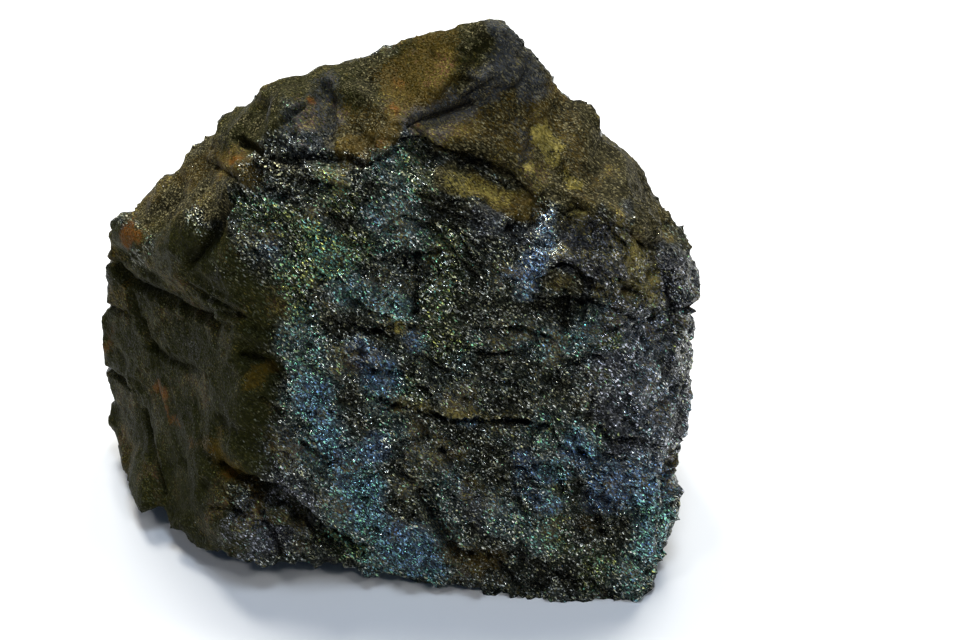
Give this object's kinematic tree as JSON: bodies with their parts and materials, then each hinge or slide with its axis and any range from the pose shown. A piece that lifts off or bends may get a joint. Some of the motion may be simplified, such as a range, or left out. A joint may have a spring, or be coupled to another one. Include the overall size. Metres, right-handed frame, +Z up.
{
  "type": "germanite specimen",
  "caption": "Natural broken lump of dark bronze-grey metallic ore with a peaked top, ledged front face and blue-green tarnish, lying on a flat base",
  "frame": {"origin": "middle of the footprint, on the surface that the specimen stands on", "axes": "+X along the width of the broad front face, to the right as seen from the front; -Y out of the front face; +Z up"},
  "size_m": [0.0856, 0.058, 0.072],
  "materials": {
    "ore": "granular metallic ore, dull bronze grey with sparkling blue-green tarnish"
  },
  "bodies": {
    "root": {"germanite_rock": "ore"}
  },
  "joints": []
}
